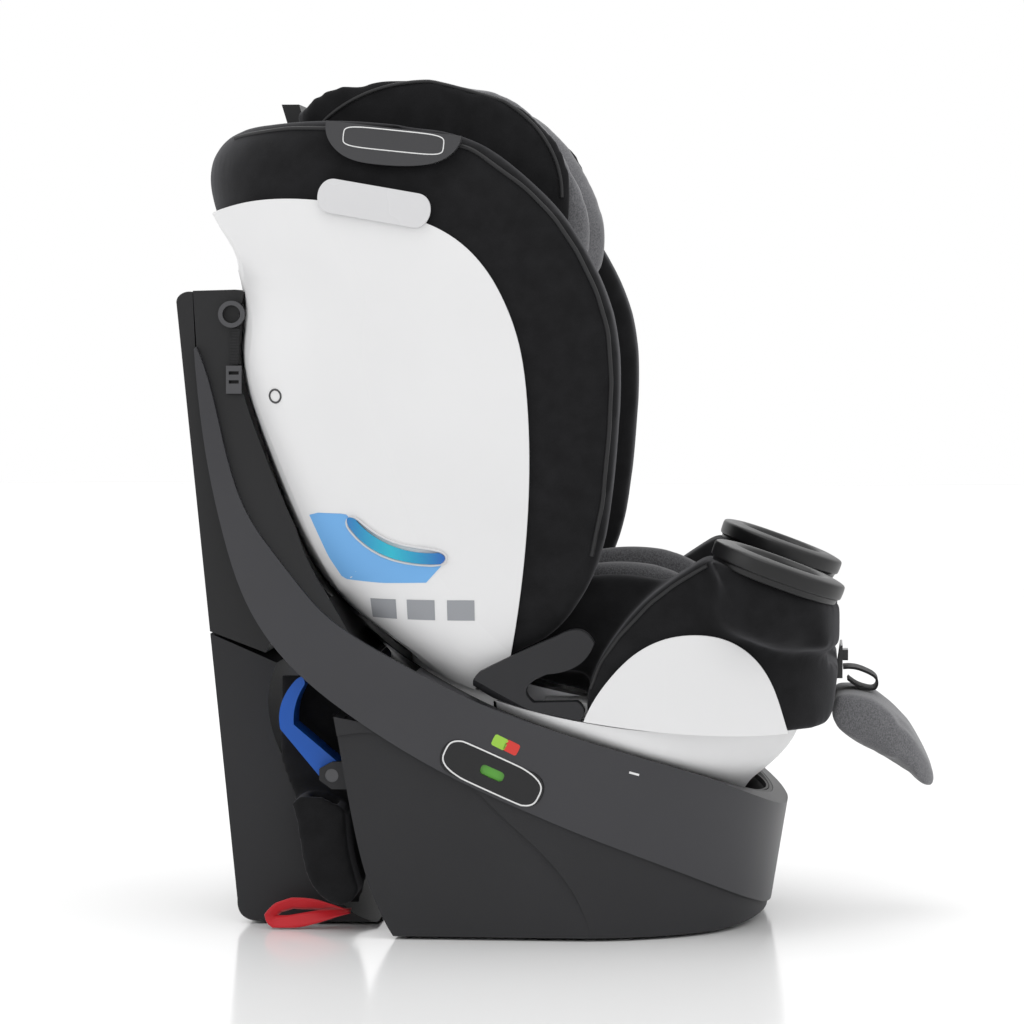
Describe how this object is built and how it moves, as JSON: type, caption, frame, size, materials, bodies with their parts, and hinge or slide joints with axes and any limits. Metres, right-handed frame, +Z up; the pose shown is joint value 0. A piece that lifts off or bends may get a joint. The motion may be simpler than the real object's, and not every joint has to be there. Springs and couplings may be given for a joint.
{
  "type": "convertible car seat",
  "caption": "Child car seat that turns on a tall-backed base with a round bowl, with a sliding headrest, padded wings, cup holders, a harness and a belt slot.",
  "frame": {"origin": "on the floor, in the mid-plane, where the seat's turning axis meets the floor", "axes": "+X to the front of the base, +Y to the seat's left, +Z up"},
  "size_m": [0.6801, 0.46, 0.758],
  "materials": {
    "band_grey": "satin",
    "black_fabric": "knit",
    "black_webbing": "woven",
    "blue_plastic": "satin",
    "dark_plastic": "satin",
    "green_flag": "gloss",
    "grey_fabric": "melange",
    "housing_black": "fine grain",
    "red_button": "gloss",
    "red_ribbon": "satin ribbon",
    "rubber": "matte",
    "steel": "zinc plated",
    "vial": "clear liquid",
    "white_shell": "satin"
  },
  "bodies": {
    "base": {"rim_band": "band_grey", "base_housing": "housing_black", "bowl_liner": "dark_plastic", "tall_back": "dark_plastic", "back_cover": "housing_black", "rear_tower": "housing_black", "floor_plate": "dark_plastic", "anti_slip_feet": "rubber", "belt_bar": "steel", "lower_race": "steel", "bearing_balls": "steel", "lock_ring": "steel", "king_pin": "steel", "king_nut": "steel", "status_plates": "dark_plastic", "anchor_pouch": "black_fabric", "red_pull_strap": "red_ribbon", "tether_hardware": "steel", "tether_strap": "black_webbing"},
    "turntable": {"upper_race": "steel", "turntable_plate": "steel", "carriage_shell": "white_shell", "recline_rails": "steel", "lock_spring": "steel"},
    "bolt": {"lock_bolt": "steel"},
    "flags": {"status_flags": "green_flag"},
    "seat": {"back_shell": "white_shell", "back_bucket": "black_fabric", "pan_shell": "white_shell", "pan_cover": "black_fabric", "recline_runners": "steel", "back_cushion": "grey_fabric", "seat_cushion": "grey_fabric", "hip_bolsters": "grey_fabric", "belt_guides": "dark_plastic", "side_plates": "white_shell", "level_vials": "vial", "shoulder_straps": "black_webbing", "harness_pads": "black_fabric", "chest_clip": "dark_plastic", "buckle": "dark_plastic", "crotch_strap": "black_webbing", "adjuster_frame": "dark_plastic", "adjuster_strap": "black_webbing", "front_flap": "grey_fabric", "headrest_guides": "steel"},
    "headrest": {"headrest_shell": "dark_plastic", "headrest_cover": "black_fabric", "headrest_cushion": "grey_fabric"},
    "head_lever": {"headrest_lever": "dark_plastic"},
    "rotate_handle": {"rotate_grip_right": "dark_plastic", "rotate_grip_left": "dark_plastic", "rotate_yoke": "steel"},
    "recline_pull": {"recline_handle": "dark_plastic"},
    "press_button": {"buckle_button": "red_button"},
    "strap_button": {"adjuster_button": "dark_plastic"},
    "cup_right": {"cup_holder_right": "dark_plastic"},
    "cup_left": {"cup_holder_left": "dark_plastic"},
    "lockoff_right": {"lockoff_lever_right": "blue_plastic"},
    "lockoff_left": {"lockoff_lever_left": "blue_plastic"}
  },
  "joints": [
    {"name": "seat_turn", "type": "hinge", "parent": "base", "child": "turntable", "pos_m": [0, 0, 0], "axis": [0.342, 0, 0.9397], "range_deg": [-180, 180], "deforming": ["front_flap"]},
    {"name": "recline", "type": "hinge", "parent": "turntable", "child": "seat", "pos_m": [0.215, 0, 0.982], "axis": [0, -1, 0], "range_deg": [0, 3.5]},
    {"name": "bolt_lift", "type": "slide", "parent": "turntable", "child": "bolt", "axis": [0.342, 0, 0.9397], "range_m": [-0.01, 0]},
    {"name": "flag_slide", "type": "slide", "parent": "base", "child": "flags", "axis": [0.9135, 0, -0.4067], "range_m": [0, 0.022]},
    {"name": "headrest_slide", "type": "slide", "parent": "seat", "child": "headrest", "axis": [-0.2924, 0, 0.9563], "range_m": [0, 0.14]},
    {"name": "headrest_release", "type": "slide", "parent": "headrest", "child": "head_lever", "axis": [-0.2924, 0, 0.9563], "range_m": [0, 0.006], "stiffness_N_per_m": 400},
    {"name": "rotate_release", "type": "slide", "parent": "seat", "child": "rotate_handle", "axis": [0, 0, 1], "range_m": [0, 0.003], "stiffness_N_per_m": 900},
    {"name": "recline_release", "type": "slide", "parent": "seat", "child": "recline_pull", "axis": [1, 0, 0], "range_m": [0, 0.008], "stiffness_N_per_m": 500},
    {"name": "buckle_press", "type": "slide", "parent": "seat", "child": "press_button", "axis": [-0.3746, 0, -0.9272], "range_m": [0, 0.003], "stiffness_N_per_m": 1200},
    {"name": "adjuster_press", "type": "slide", "parent": "seat", "child": "strap_button", "axis": [-1, 0, 0], "range_m": [0, 0.003], "stiffness_N_per_m": 800},
    {"name": "cup_right_lift", "type": "slide", "parent": "seat", "child": "cup_right", "axis": [0.342, 0, 0.9397], "range_m": [0, 0.09]},
    {"name": "cup_left_lift", "type": "slide", "parent": "seat", "child": "cup_left", "axis": [0.342, 0, 0.9397], "range_m": [0, 0.09]},
    {"name": "lockoff_right_open", "type": "hinge", "parent": "base", "child": "lockoff_right", "pos_m": [-0.147, -0.14, 0.141], "axis": [0, -1, 0], "range_deg": [0, 40]},
    {"name": "lockoff_left_open", "type": "hinge", "parent": "base", "child": "lockoff_left", "pos_m": [-0.147, 0.14, 0.141], "axis": [0, -1, 0], "range_deg": [0, 40]}
  ]
}
